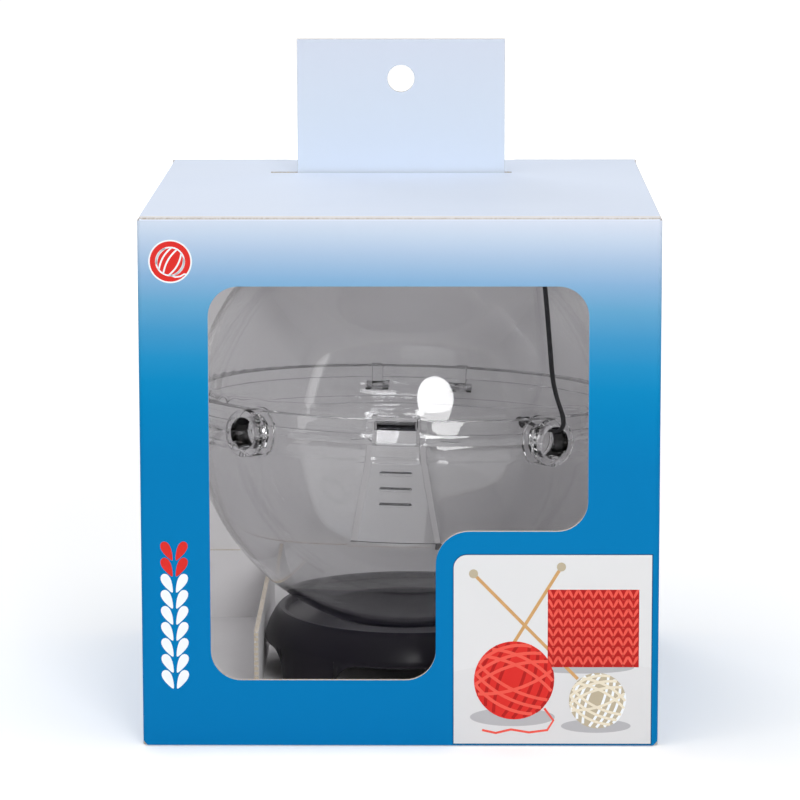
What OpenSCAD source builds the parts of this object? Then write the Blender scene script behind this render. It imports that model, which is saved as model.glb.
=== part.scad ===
// Yarn dispenser globe in its hang-tagged window carton.
// Origin at the centre of the carton's bottom, +Z up, the window looks along -Y.
// The carton is sized from the globe inside it.

/* [Globe] */
// Outer radius of the clear globe
globe_r = 75; // [60:1:90]
// Wall of the clear globe
globe_wall = 2; // [1.5:0.1:3]
// How far the two equator flanges stand out from the globe
flange_w = 5.5; // [4:0.5:8]
// Height of the dome's flange
dome_flange_h = 3.5; // [2.5:0.1:5]
// Height of the bowl's full-width flange
bowl_flange_h = 4; // [3:0.1:6]
// Height of the stepped skirt under the bowl's flange
skirt_h = 2.3; // [1.5:0.1:4]
// Height of the dome's skirt over its flange
dome_skirt_h = 4.3; // [3:0.1:6]
// Step of the skirt, and of the dome's upper lip
skirt_step = 1.2; // [0.6:0.1:2]
// Sideways place of the globe in the carton
globe_shift = 2; // [0:0.1:2]
// How far the globe leans back in its seat, in degrees
globe_lean = 2.5; // [0:0.5:4]
// How far the globe dips to its right, in degrees
globe_roll = 1.3; // [0:0.1:3]
// How far the globe is turned in its seat, in degrees
globe_yaw = 2.5; // [0:0.5:6]

/* [Feed holes] */
// Bore radius of a yarn feed hole
feed_r = 5.5; // [4:0.1:6]
// Wall of the boss round a feed hole
feed_boss_wall = 2.4; // [1.2:0.1:2.5]
// How far a boss stands out from the flange
feed_boss_out = 1.3; // [0.5:0.1:1.4]
// Angle of each feed hole from the front, in degrees
feed_angle = 39.5; // [30:0.5:50]

/* [Latch] */
// Half width of the latch tab at the flange
tab_top_half = 7.6; // [7:0.1:10]
// Half width of the latch tab at its root
tab_root_half = 12.9; // [11:0.1:16]
// Length of the latch tab below the parting plane
tab_drop = 34.5; // [28:0.5:40]
// Width of the slits beside the latch tab
slit_w = 2.1; // [1.2:0.1:3]
// Height of the latch frame on the dome
frame_h = 9.4; // [8.6:0.1:11]
// Width of the latch frame's slot
slot_w = 13.6; // [10:0.1:15]
// Length of a grip ridge
ridge_l = 11; // [7:0.5:13]
// Radius of a grip ridge
ridge_r = 0.8; // [0.5:0.1:1.2]
// Height between grip ridges
ridge_pitch = 5.4; // [4:0.1:6]

/* [Globe hinge] */
// Distance from the globe's middle to each hinge
hinge_x = 16; // [10:0.5:24]
// Radius of the hinge knuckles
knuckle_r = 2.1; // [1.8:0.1:2.3]
// Length of a dome knuckle
dome_knuckle_l = 4; // [4:0.5:8]
// Length of a bowl knuckle
bowl_knuckle_l = 2; // [2:0.5:4]
// Radius of a hinge pin
hinge_pin_r = 1; // [0.7:0.1:1.2]

/* [Base stand] */
// Radius of the stand's foot
base_r = 50.2; // [44:0.1:52]
// Radius of the stand's top rim
rim_r = 45; // [38:0.5:46]
// Height of the stand
base_h = 24; // [20:0.5:28]
// Depth of the dish inside the rim
dish_h = 2.2; // [1:0.1:3]
// Width of the rim
rim_w = 1.7; // [1:0.1:3]
// Wall of the stand
base_wall = 2.4; // [1.6:0.1:3]
// Height of the straight side below the shoulder
base_side_h = 14; // [13:0.5:19]
// Width of an arch between two feet
arch_w = 50; // [36:1:56]
// Height of an arch
arch_h = 12.4; // [8:0.1:13]
// Radius of an arch's upper corners
arch_r = 8; // [4:0.5:8]
// How far an arch cuts in from the foot
arch_depth = 10; // [8:1:14]

/* [Carton] */
// Thickness of the board
board = 1.5; // [1:0.1:2]
// Room between the globe's flange and the carton walls
side_room = 3; // [2.8:0.1:8]
// Room between the globe's top and the dust flaps' level
head_room = 1.8; // [1:0.1:6]
// Cut corner at the foot of the front and back panels
foot_cut = 1.5; // [0.5:0.1:3]
// Reach of a side dust flap from its fold
dust_reach = 60; // [45:1:66]
// Cut corner of a dust flap beside the tag, along its free edge
dust_cut_y = 30; // [24:1:40]
// Cut corner of a dust flap beside the tag, along its rear edge
dust_cut_x = 20; // [16:1:30]
// Gap between a dust flap and the board beside it
flap_gap = 0.8; // [0.5:0.1:1.5]
// Width of the glued seam flap
seam_w = 18; // [12:1:24]
// Height of a tuck tongue below the lid
tuck_h = 15; // [10:0.5:18]
// Gap between the back panel and the tuck tongues
tuck_gap = 1.7; // [1.7:0.1:3]
// Reach of a bottom side flap
bottom_reach = 58; // [45:1:66]

/* [Window] */
// Board left of the window
window_left = 22.7; // [16:0.1:30]
// Board right of the window
window_right = 23.5; // [16:0.1:30]
// Board above the window
window_top = 23; // [16:0.1:30]
// Board below the window
window_bottom = 22; // [18:0.1:30]
// Width of the window's lower part
window_leg_w = 74; // [50:0.5:90]
// Height of the window's lower part
window_leg_h = 50; // [30:0.5:60]
// Radius of the window's corners
window_r = 10; // [5:0.5:12]
// Radius of the board's corner inside the L
window_inner_r = 11; // [5:0.5:14]

/* [Hang tag] */
// Width of the hang tag
tag_w = 73.7; // [50:0.1:74]
// Height of the hang tag above the lid
tag_h = 47.5; // [35:0.5:60]
// Distance from the carton's back to the tag's middle
tag_back = 42.5; // [30:0.5:50]
// Sideways place of the tag
tag_shift = -0.8; // [-4:0.1:4]
// Radius of the hang hole
hang_r = 4.75; // [3:0.05:6]
// Distance from the tag's top to the hang hole's centre
hang_drop = 14; // [10:0.5:20]
// Width of the carrier strip that the tag is folded up from
carrier_w = 80; // [75:1:90]
// Slit length left of the tag
slit_left = 9.5; // [2:0.5:12]
// Slit length right of the tag
slit_right = 2.5; // [2:0.5:12]
// Clearance between the tag's faces and the slit
slit_room = 1; // [0.9:0.1:2]

/* [Cradle] */
// Gap between the stand and the cradle's side walls
cradle_gap = 0.4; // [0.3:0.1:2]
// Height of the cradle's side walls above its floor
cradle_wall_h = 24.5; // [18:0.5:30]
// Height of the cradle's back wall above its floor
cradle_back_h = 25.5; // [18:0.5:30]
// Room in front of the cradle's side walls
cradle_front = 38; // [30:1:50]

/* [Strap] */
// Diameter of the strap
strap_d = 1.8; // [1.4:0.1:2]
// Turns of the stored coil in each of its two layers
coil_turns = 2; // [1:1:3]
// Radius of the coil's widest turn, to the strap's middle
coil_r = 13; // [12:0.5:15]

/* [Hidden] */

// Facets of round parts, and of the small ones
big_fn = 128;
small_fn = 32;
// Running gap of moulded parts, and the pin's clearance in its knuckles
run_gap = 0.3;
pin_gap = 0.05;
// Overcut of a cutting shape
cut = 1;
inf = 400;

// Flange and carton sizes worked out from the globe
flange_r = globe_r + flange_w;
inner_half = flange_r + side_room;
outer_half = inner_half + board;
floor_z = 3 * board;
seat_gap = 0.3;
seat_r = 28;
dish_z = floor_z + base_h - dish_h;
globe_z = dish_z + sqrt(pow(globe_r + seat_gap, 2) - seat_r * seat_r);
dust_z = globe_z + globe_r + head_room;
lid_z = dust_z + board;
top_z = lid_z + board;

// Places on the carton
tag_y = outer_half - tag_back;
tag_front = tag_y - board / 2;
tag_rear = tag_y + board / 2;
tag_top = top_z + tag_h;
carrier_side = carrier_w / 2;
dust_rear = tag_front - flap_gap - board;
window_x0 = -outer_half + window_left;
window_x1 = outer_half - window_right;
window_z0 = window_bottom;
window_z1 = top_z - window_top;
window_xm = window_x0 + window_leg_w;
window_zm = window_z0 + window_leg_h;
lid_rear = inner_half - 0.2;
tuck_rear = inner_half - tuck_gap;
tuck_inner = carrier_side + abs(tag_shift) + 3;
tuck_outer = inner_half - 3;

// Places on the globe, with the parting plane at z = 0
inner_r = globe_r - globe_wall;
boss_r = feed_r + feed_boss_wall;
boss_rho0 = inner_r - 1.2;
boss_rho1 = flange_r + feed_boss_out;
hinge_y = flange_r - 0.3;
web_depth = 4.2;
web_y = hinge_y - web_depth;
bowl_knuckle_x = dome_knuckle_l / 2 + run_gap + bowl_knuckle_l / 2;
hinge_pin_l = dome_knuckle_l + 2 * (bowl_knuckle_l + run_gap);
dome_top = dome_flange_h + dome_skirt_h;
frame_half = tab_top_half + 0.2;
side_notch_w = 1.9;
side_notch_z = dome_flange_h + 0.8;
frame_front = flange_r + 1.8;
frame_back = flange_r - 0.6;
notch_half = tab_top_half - 0.8;
frame_depth = 7.2;
notch_depth = 4.4;
head_depth = 3.6;
slot_z0 = frame_h - 4.1;
slot_z1 = frame_h - 1.5;
notch_top = frame_h - 1.2;
ridge_top = -(bowl_flange_h + skirt_h) - 4;
ridges = 3;

// The strap's route, from inside the right feed hole up over the dome
strap_points = [
    [41.9, -52.5, 101.4],
    [46.7, -58.9, 101.6],
    [51.5, -65.3, 101.8],
    [53.6, -67.9, 103.8],
    [53.6, -67.3, 107.4],
    [51.8, -61.5, 112.6],
    [50.6, -56.5, 118.2],
    [50, -52.3, 125.2],
    [49.4, -47.5, 133.2],
    [48.9, -41.8, 140.2],
    [48.4, -35.2, 146.2],
    [47.8, -27.5, 151.2],
    [47.1, -18, 155.7],
    [46.8, -8, 158.4],
    [46.5, 1.5, 159.2]];
// Middle of the coil on the dome's shoulder, and its slope in degrees
coil_rho = 53;
coil_bearing = 13;
// Radius of the knots at both ends
knot_r = 2.2;
// Height of the end knot's middle over its strap's, so that it clears the turn below
knot_rise = 0.8;

function unit(v) = v / norm(v);

module in_globe() {
    translate([globe_shift, 0, globe_z])
        rotate([-globe_lean, globe_roll, -globe_yaw])
            children();
}

// A box from its lowest to its highest corner
module span_box(low, high) {
    translate(low)
        cube(high - low);
}

// A flat board standing across Y, drawn as its outline in X and Z
module board_xz(y0, y1) {
    translate([0, y1, 0])
        rotate([90, 0, 0])
            linear_extrude(y1 - y0)
                children();
}

// A rectangle with round corners, as squares and circles
module round_rect(low, high, r) {
    translate(low + [r, 0])
        square([high[0] - low[0] - 2 * r, high[1] - low[1]]);
    translate(low + [0, r])
        square([high[0] - low[0], high[1] - low[1] - 2 * r]);
    for (x = [low[0] + r, high[0] - r], y = [low[1] + r, high[1] - r])
        translate([x, y])
            circle(r, $fn = 64);
}

// The quarter that fills a square corner outside a round one
module corner_fill(at, dir, r) {
    difference() {
        translate([at[0] + min(dir[0], 0) * r, at[1] + min(dir[1], 0) * r])
            square(r);
        translate(at + dir * r)
            circle(r, $fn = 64);
    }
}

module window_outline() {
    round_rect([window_x0, window_z0], [window_xm, window_z1], window_r);
    round_rect([window_x0, window_zm], [window_x1, window_z1], window_r);
    corner_fill([window_xm, window_zm], [1, -1], window_inner_r);
}

// Outline of a front or back panel, cut at both feet
module panel_outline(high) {
    polygon([
        [-outer_half + foot_cut, 0],
        [outer_half - foot_cut, 0],
        [outer_half, foot_cut],
        [outer_half, high],
        [-outer_half, high],
        [-outer_half, foot_cut]]);
}

// A front or back panel with its two rounded folds, for the front
module folded_panel(high) {
    intersection() {
        board_xz(-outer_half, -inner_half)
            panel_outline(high);
        union() {
            span_box([-inner_half, -outer_half - cut, -cut], [inner_half, -inner_half, high + cut]);
            for (side = [-1, 1])
                translate([side * inner_half, -inner_half, -cut])
                    cylinder(r = board, h = high + 2 * cut, $fn = small_fn);
        }
    }
}

module front_panel() {
    color("#1b84bd")
        difference() {
            folded_panel(lid_z);
            board_xz(-outer_half - cut, -inner_half + cut)
                window_outline();
        }
}

// The back panel is lower where the tag's carrier is folded from it
module back_panel() {
    color("#2f8fc4")
        difference() {
            mirror([0, 1, 0])
                folded_panel(top_z);
            span_box([tag_shift - carrier_side - flap_gap, inner_half - cut, dust_z],
                [tag_shift + carrier_side + flap_gap, outer_half + cut, top_z + cut]);
        }
}

// A side panel, higher behind its dust flap, where it meets the lid
module side_panel(side) {
    x0 = side > 0 ? inner_half : -outer_half;
    span_box([x0, -inner_half, 0], [x0 + board, inner_half, dust_z]);
    span_box([x0, dust_rear + flap_gap, 0], [x0 + board, inner_half, lid_z]);
}

module left_panel() {
    color("#3f97c8")
        side_panel(-1);
}

module right_panel() {
    color("#3f97c8")
        side_panel(1);
}

// The glued seam flap lies inside the left panel at the back
module seam_flap() {
    top = dust_z - 3;
    color("#c9ccd2")
        translate([-inner_half, inner_half, floor_z + cradle_back_h + 1])
            rotate([0, 0, -90])
                linear_extrude(top - floor_z - cradle_back_h - 1)
                    polygon([[0.2, 0], [seam_w, 0], [seam_w, board], [0.2, board]]);
}

// The lid is one board with rounded folds front and rear and a slit for the tag
module lid_panel() {
    color("#dfe6f3")
        difference() {
            intersection() {
                span_box([-outer_half + 0.8, -outer_half, lid_z], [outer_half - 0.8, lid_rear, top_z]);
                union() {
                    span_box([-inf, -inner_half, lid_z - cut], [inf, lid_rear + cut, top_z + cut]);
                    translate([-inf / 2, -inner_half, lid_z])
                        rotate([0, 90, 0])
                            cylinder(r = board, h = inf, $fn = small_fn);
                }
            }
            span_box([tag_shift - tag_w / 2 - slit_left, tag_front - slit_room, lid_z - cut],
                [tag_shift + tag_w / 2 + slit_right, tag_rear + slit_room, top_z + cut]);
        }
}

// Two tuck tongues, one each side of the tag's carrier
module tuck_tongues() {
    color("#d5dae4")
        for (side = [-1, 1])
            board_xz(tuck_rear - board, tuck_rear)
                mirror([side < 0 ? 1 : 0, 0])
                    polygon([
                        [tuck_inner, lid_z],
                        [tuck_outer, lid_z],
                        [tuck_outer - tuck_h / 4, lid_z - tuck_h],
                        [tuck_inner + tuck_h / 4, lid_z - tuck_h]]);
}

// The strip from the back panel to the tag, under the lid
module tag_carrier() {
    color("#d5dae4")
        span_box([tag_shift - carrier_side, tag_rear, dust_z],
            [tag_shift + carrier_side, outer_half, lid_z]);
}

module hang_tag() {
    color("#d6deea")
        difference() {
            span_box([tag_shift - tag_w / 2, tag_front, dust_z],
                [tag_shift + tag_w / 2, tag_rear, tag_top]);
            translate([tag_shift, tag_rear + cut, tag_top - hang_drop])
                rotate([90, 0, 0])
                    cylinder(r = hang_r, h = board + 2 * cut, $fn = 64);
        }
}

// A dust flap, its front corner cut back at 45 degrees, for the left side
module dust_flap() {
    front = -inner_half + flap_gap;
    translate([0, 0, dust_z])
        linear_extrude(board)
            polygon([
                [-outer_half, front + flap_gap],
                [-outer_half + dust_reach, front + dust_reach],
                [-outer_half + dust_reach, dust_rear - dust_cut_y],
                [-outer_half + dust_reach - dust_cut_x, dust_rear],
                [-outer_half, dust_rear]]);
}

module dust_flap_left() {
    color("#ccd1da")
        dust_flap();
}

module dust_flap_right() {
    color("#ccd1da")
        mirror([1, 0, 0])
            dust_flap();
}

// The two outer bottom flaps meet in the middle
module bottom_outer(side) {
    y0 = side > 0 ? 0.3 : -inner_half;
    span_box([-inner_half, y0, 0], [inner_half, y0 + inner_half - 0.3, board]);
}

module bottom_flap_front() {
    color("#1878b0")
        bottom_outer(-1);
}

module bottom_flap_back() {
    color("#1878b0")
        bottom_outer(1);
}

// The inner bottom flaps lie on the outer ones
module bottom_inner(side) {
    translate([0, 0, board])
        linear_extrude(board)
            mirror([side > 0 ? 1 : 0, 0])
                polygon([
                    [-inner_half, -inner_half + flap_gap],
                    [-inner_half + bottom_reach, -inner_half + bottom_reach / 2],
                    [-inner_half + bottom_reach, inner_half - bottom_reach / 2],
                    [-inner_half, inner_half - flap_gap]]);
}

module bottom_flap_left() {
    color("#c9ccd2")
        bottom_inner(-1);
}

module bottom_flap_right() {
    color("#c9ccd2")
        bottom_inner(1);
}

// Folded board insert: a floor, a back wall and two walls beside the stand
module base_cradle() {
    wall_x = base_r + cradle_gap;
    z0 = floor_z - board;
    color("#d8dade") {
        span_box([-inner_half + 0.4, -inner_half + 0.4, z0], [inner_half - 0.4, inner_half, floor_z]);
        span_box([-inner_half + 0.4, inner_half - board, z0],
            [inner_half - 0.4, inner_half, floor_z + cradle_back_h]);
        for (side = [-1, 1])
            translate([globe_shift + (side > 0 ? wall_x : -wall_x - board), 0, 0])
                span_box([0, -inner_half + cradle_front, z0],
                    [board, inner_half - board / 2, floor_z + cradle_wall_h]);
    }
}

// Profile of the stand: outer side, rounded shoulder, rim, dish and seat
module base_profile() {
    shoulder = base_r - rim_r;
    rise = base_h - base_side_h;
    steps = 8;
    r_in = base_r - base_wall;
    seat_z = globe_z - floor_z;
    big = globe_r + seat_gap;
    rim_in = rim_r - rim_w;
    dish = base_h - dish_h;
    // Over 1, the shoulder's curve comes nearer to a straight slope
    flare = 1.5;
    polygon(concat(
        [[r_in, 0], [base_r, 0]],
        [for (i = [0:steps])
            [rim_r + shoulder * pow(cos(90 * i / steps), flare), base_side_h + rise * pow(sin(90 * i / steps), flare)]],
        [[rim_in, base_h], [rim_in - 1, dish]],
        [for (i = [0:steps])
            let (r = seat_r * (1 - i / steps))
                [r, seat_z - sqrt(big * big - r * r)]],
        [[0, seat_z - big - base_wall],
            [seat_r, dish - base_wall],
            [rim_in - 1, dish - base_wall],
            [r_in, base_side_h - 2]]));
}

// Outline of an arch, seen from the side
module arch_outline() {
    half = arch_w / 2;
    translate([-half, -cut])
        square([arch_w, arch_h - arch_r + cut]);
    translate([-half + arch_r, -cut])
        square([arch_w - 2 * arch_r, arch_h + cut]);
    for (side = [-1, 1])
        translate([side * (half - arch_r), arch_h - arch_r])
            circle(arch_r, $fn = 64);
}

module base_stand() {
    color("#17151c")
        translate([globe_shift, 0, floor_z])
            difference() {
                rotate_extrude($fn = big_fn)
                    base_profile();
                for (turn = [0:90:270])
                    rotate([0, 0, turn])
                        translate([0, -base_r + arch_depth, 0])
                            rotate([90, 0, 0])
                                linear_extrude(2 * arch_depth)
                                    arch_outline();
            }
}

// A full shell of the globe
module globe_shell() {
    difference() {
        sphere(globe_r, $fn = big_fn);
        sphere(inner_r, $fn = big_fn);
    }
}

// Half of the shell with half of each feed hole's boss, from the height z0
module half_shell(z0) {
    intersection() {
        union() {
            globe_shell();
            feed_bar(boss_r, boss_rho0, boss_rho1);
        }
        span_box([-inf / 2, -inf / 2, z0], [inf / 2, inf / 2, z0 + globe_r + cut]);
    }
}

// A flat ring outside the globe's inner wall
module ring(r_out, z0, z1) {
    translate([0, 0, z0])
        difference() {
            cylinder(r = r_out, h = z1 - z0, $fn = big_fn);
            translate([0, 0, -cut])
                cylinder(r = inner_r + 0.5, h = z1 - z0 + 2 * cut, $fn = big_fn);
        }
}

// A round bar or bore along a feed hole
module feed_bar(r, rho0, rho1) {
    for (side = [-1, 1])
        rotate([0, 0, side * feed_angle])
            translate([0, -rho0, 0])
                rotate([90, 0, 0])
                    cylinder(r = r, h = rho1 - rho0, $fn = 64);
}

// A bar along the hinge's axis, centred at x
module hinge_bar(x, l, r) {
    translate([x - l / 2, hinge_y, 0])
        rotate([0, 90, 0])
            cylinder(r = r, h = l, $fn = small_fn);
}

// A knuckle and the web that joins it to its flange, up for the dome
module knuckle(x, l, up) {
    hinge_bar(x, l, knuckle_r);
    span_box([x - l / 2, web_y, up ? 0 : -knuckle_r], [x + l / 2, hinge_y, up ? dome_top : 0]);
}

// Outline of the latch tab in X and Z, made wider by grow on each side
module tab_outline(grow, top, low) {
    skirt_z = bowl_flange_h + skirt_h;
    waist = tab_top_half + 0.5;
    polygon([
        [-tab_top_half - grow, top],
        [-waist - grow, -skirt_z],
        [-tab_root_half - grow, low],
        [tab_root_half + grow, low],
        [waist + grow, -skirt_z],
        [tab_top_half + grow, top]]);
}

module tab_prism(grow, top, low) {
    board_xz(-frame_front - cut, -inner_r / 2)
        tab_outline(grow, top, low);
}

module upper_dome() {
    color("#dbe3ea", 0.35)
        in_globe()
            difference() {
                union() {
                    difference() {
                        union() {
                            half_shell(0);
                            ring(flange_r, 0, dome_flange_h);
                            ring(flange_r - skirt_step, 0, dome_top);
                            span_box([-frame_half, -frame_front, 0], [frame_half, -flange_r + frame_depth, frame_h]);
                        }
                        for (s = [-1, 1], t = [-1, 1])
                            hinge_bar(s * hinge_x + t * bowl_knuckle_x, bowl_knuckle_l + 2 * run_gap,
                                knuckle_r + run_gap);
                    }
                    for (s = [-1, 1])
                        knuckle(s * hinge_x, dome_knuckle_l, true);
                }
                feed_bar(feed_r, inner_r / 2, boss_rho1 + cut);
                span_box([-notch_half, -frame_back, -cut], [notch_half, -inner_r + notch_depth, notch_top]);
                for (s = [-1, 1])
                    span_box([s * (frame_half + side_notch_w / 2) - side_notch_w / 2, -frame_front, side_notch_z],
                        [s * (frame_half + side_notch_w / 2) + side_notch_w / 2, -globe_r - 0.4, dome_top + cut]);
                span_box([-slot_w / 2, -frame_front - cut, slot_z0],
                    [slot_w / 2, -frame_back + cut, slot_z1]);
                for (s = [-1, 1])
                    hinge_bar(s * hinge_x, hinge_pin_l + pin_gap, hinge_pin_r + pin_gap);
            }
}

// The bowl before the latch tab is cut free of it
module whole_bowl() {
    difference() {
        union() {
            difference() {
                union() {
                    half_shell(-globe_r - cut);
                    ring(flange_r, -bowl_flange_h, 0);
                    ring(flange_r - skirt_step, -bowl_flange_h - skirt_h, 0);
                }
                for (s = [-1, 1])
                    hinge_bar(s * hinge_x, dome_knuckle_l + 2 * run_gap, knuckle_r + run_gap);
            }
            for (s = [-1, 1], t = [-1, 1])
                knuckle(s * hinge_x + t * bowl_knuckle_x, bowl_knuckle_l, false);
        }
        feed_bar(feed_r, inner_r / 2, boss_rho1 + cut);
        for (s = [-1, 1])
            hinge_bar(s * hinge_x, hinge_pin_l + pin_gap, hinge_pin_r + pin_gap);
    }
}

module lower_bowl() {
    color("#d3dbe2", 0.35)
        in_globe()
            difference() {
                whole_bowl();
                tab_prism(slit_w, cut, -tab_drop - 0.3);
            }
}

// The latch tab with its head, cam nose and grip ridges
module latch_tab() {
    head_front = frame_back - 0.4;
    nose = head_front + 1.5;
    color("#cfd8e0", 0.4)
        in_globe() {
            intersection() {
                whole_bowl();
                tab_prism(0, cut, -tab_drop);
            }
            translate([0, 0, -bowl_flange_h])
                span_box([-notch_half + 0.4, -head_front, 0],
                    [notch_half - 0.4, -head_front + head_depth, bowl_flange_h + slot_z1 - 0.3]);
            translate([-slot_w / 2 + 0.4, 0, 0])
                rotate([90, 0, 90])
                    linear_extrude(slot_w - 0.8)
                        polygon([
                            [-head_front + 0.5, slot_z0],
                            [-head_front, slot_z0 + 0.25],
                            [-nose, slot_z0 + 1.6],
                            [-nose, slot_z1 - 0.3],
                            [-head_front + 0.5, slot_z1 - 0.3]]);
            for (i = [0:ridges - 1]) {
                z = ridge_top - i * ridge_pitch;
                rho = sqrt(globe_r * globe_r - z * z);
                translate([-ridge_l / 2 + ridge_r, -rho, z]) {
                    rotate([0, 90, 0])
                        cylinder(r = ridge_r, h = ridge_l - 2 * ridge_r, $fn = small_fn);
                    sphere(ridge_r, $fn = small_fn);
                    translate([ridge_l - 2 * ridge_r, 0, 0])
                        sphere(ridge_r, $fn = small_fn);
                }
            }
        }
}

module hinge_pins() {
    color("#c4c8cc")
        in_globe()
            for (s = [-1, 1])
                hinge_bar(s * hinge_x, hinge_pin_l, hinge_pin_r);
}

// A smooth tube along points: each ring stands square to the route
function tangent(p, i) = unit(p[min(i + 1, len(p) - 1)] - p[max(i - 1, 0)]);
function side_of(t, up) = unit(cross(t, up));
module tube(p, d, sides, up) {
    n = len(p);
    rings = [for (i = [0:n - 1])
        let (t = tangent(p, i), a = side_of(t, up), b = cross(t, a))
            for (k = [0:sides - 1])
                p[i] + d / 2 * (cos(360 * k / sides) * a + sin(360 * k / sides) * b)];
    walls = [for (i = [0:n - 2], k = [0:sides - 1])
        let (a = i * sides + k, b = i * sides + (k + 1) % sides)
            for (f = [[a, b, b + sides], [a, b + sides, a + sides]]) f];
    caps = [for (k = [1:sides - 2])
        for (f = [[0, k + 1, k], [(n - 1) * sides, (n - 1) * sides + k, (n - 1) * sides + k + 1]]) f];
    polyhedron(points = rings, faces = concat(walls, caps), convexity = 6);
}

// Points between the route's own, on a smooth curve through them
function curve(a, b, c, d, t) = 0.5 * ((2 * b) + (c - a) * t + (2 * a - 5 * b + 4 * c - d) * t * t
    + (3 * b - a - 3 * c + d) * t * t * t);
function smooth(p, k) = [
    for (i = [0:len(p) - 2], j = [0:k - 1])
        curve(p[max(i - 1, 0)], p[i], p[i + 1], p[min(i + 2, len(p) - 1)], j / k),
    p[len(p) - 1]];

module strap_run() {
    color("#101014")
        tube(smooth(concat(strap_points, [shoulder(coil_points[0])]), 3), strap_d, 8, [1, 0.3, 0.1]);
}

// The coil winds in on its lower layer, climbs in half a turn and winds out again
coil_steps = 24;
coil_gap = 0.6;
coil_pitch = strap_d + coil_gap;
coil_count = 2 * coil_turns * coil_steps;
function coil_point(i) =
    let (turn = i / coil_steps,
        inward = turn <= coil_turns ? turn : 2 * coil_turns - turn,
        r = coil_r - coil_pitch * inward,
        climb = min(max(turn - coil_turns + 0.25, 0) / 0.5, 1),
        a = 180 + 360 * turn)
            [r * cos(a), -r * sin(a), strap_d / 2 + coil_pitch * climb];
coil_points = concat(
    [coil_point(0) - [0, strap_d, 0]],
    [for (i = [0:coil_count]) coil_point(i)],
    [coil_point(coil_count) + [0, strap_d, 0]]);
coil_last = len(coil_points) - 1;
coil_least = min([for (i = [0:coil_last])
    for (j = [i + coil_steps / 2:1:coil_last]) norm(coil_points[i] - coil_points[j])]) - strap_d;
echo(coil_least_gap = coil_least);

// The coil lies on the dome's shoulder: its slope, and a point of its frame in the part's
coil_slope = asin(coil_rho / globe_r);
function shoulder(p) =
    let (h = p[2] + globe_r,
        x = p[0] * cos(coil_slope) + h * sin(coil_slope),
        z = h * cos(coil_slope) - p[0] * sin(coil_slope))
            [globe_shift + x * cos(coil_bearing) - p[1] * sin(coil_bearing),
                x * sin(coil_bearing) + p[1] * cos(coil_bearing),
                globe_z + z];

module strap_coil() {
    color("#101014")
        tube([for (p = coil_points) shoulder(p)], strap_d, 6,
            [sin(coil_slope), 0, cos(coil_slope)]);
}

// The knot that holds the strap inside the feed hole
module strap_inner_knot() {
    color("#101014")
        translate(strap_points[0] - unit(strap_points[1] - strap_points[0]) * knot_r)
            sphere(knot_r, $fn = small_fn);
}

module strap_end_knot() {
    color("#101014")
        translate(shoulder(coil_points[coil_last] + [0, knot_r, knot_rise]))
            sphere(knot_r, $fn = small_fn);
}

front_panel();
back_panel();
left_panel();
right_panel();
seam_flap();
lid_panel();
tuck_tongues();
tag_carrier();
hang_tag();
dust_flap_left();
dust_flap_right();
bottom_flap_front();
bottom_flap_back();
bottom_flap_left();
bottom_flap_right();
base_cradle();
base_stand();
lower_bowl();
upper_dome();
latch_tab();
hinge_pins();
strap_run();
strap_coil();
strap_inner_knot();
strap_end_knot();
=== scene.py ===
"""Looks of the yarn dispenser globe in its hang-tagged window carton."""

import math

import bmesh
import bpy
from mathutils import Matrix, Vector


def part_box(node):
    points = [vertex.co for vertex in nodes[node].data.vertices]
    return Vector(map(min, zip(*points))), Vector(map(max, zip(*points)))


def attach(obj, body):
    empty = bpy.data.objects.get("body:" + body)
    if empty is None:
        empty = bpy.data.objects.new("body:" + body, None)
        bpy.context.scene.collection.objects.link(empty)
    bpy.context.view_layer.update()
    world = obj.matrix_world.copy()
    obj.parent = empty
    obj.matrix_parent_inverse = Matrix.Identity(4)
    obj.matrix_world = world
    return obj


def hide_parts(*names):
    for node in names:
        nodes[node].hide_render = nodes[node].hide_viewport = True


MM = 0.001
X, Y, Z = 0, 1, 2
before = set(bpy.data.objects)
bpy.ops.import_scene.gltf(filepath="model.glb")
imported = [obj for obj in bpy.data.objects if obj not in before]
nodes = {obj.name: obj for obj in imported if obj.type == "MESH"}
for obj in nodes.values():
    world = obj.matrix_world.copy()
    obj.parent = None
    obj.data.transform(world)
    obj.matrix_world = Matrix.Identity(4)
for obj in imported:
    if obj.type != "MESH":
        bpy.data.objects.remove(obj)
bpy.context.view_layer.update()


# Camera, at the photograph's angle; its turns are in degrees
CAMERA_AT = Vector((13.5, -1303.1, 326.2)) * MM
CAMERA_DOWN = 9.2
CAMERA_LEFT = 0.63
CAMERA_ROLL = -0.09
CAMERA_LENS = 170.9
CAMERA_SHIFT_Y = -0.05


def make_camera():
    data = bpy.data.cameras.new("camera")
    data.lens = CAMERA_LENS
    data.shift_y = CAMERA_SHIFT_Y
    data.clip_start, data.clip_end = 0.05, 50
    camera = bpy.data.objects.new("camera", data)
    bpy.context.scene.collection.objects.link(camera)
    turn = Matrix.Rotation(math.radians(CAMERA_LEFT), 4, "Z")
    tilt = Matrix.Rotation(math.radians(90 - CAMERA_DOWN), 4, "X")
    roll = Matrix.Rotation(math.radians(CAMERA_ROLL), 4, "Z")
    camera.matrix_world = Matrix.Translation(CAMERA_AT) @ turn @ tilt @ roll
    bpy.context.scene.camera = camera


make_camera()


# The globe leans in its stand; in millimetres and, for its turn, in radians
GLOBE_R = 75
GLOBE_AT = Vector((2, 0, 96.201))
GLOBE_TURN = (math.radians(-2.5), math.radians(1.3), math.radians(-2.5))

# Noise scales, per metre: the board's fibres, its blotches, its print's clouds and waver, the
# strap's weave, and the stand's moulded grain and tint
FIBRE, BLOTCH, CLOUD, WAVER = 1400, 35, 14, 9
WEAVE, MOULDED, TINT = 1900, 2600, 60


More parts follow.
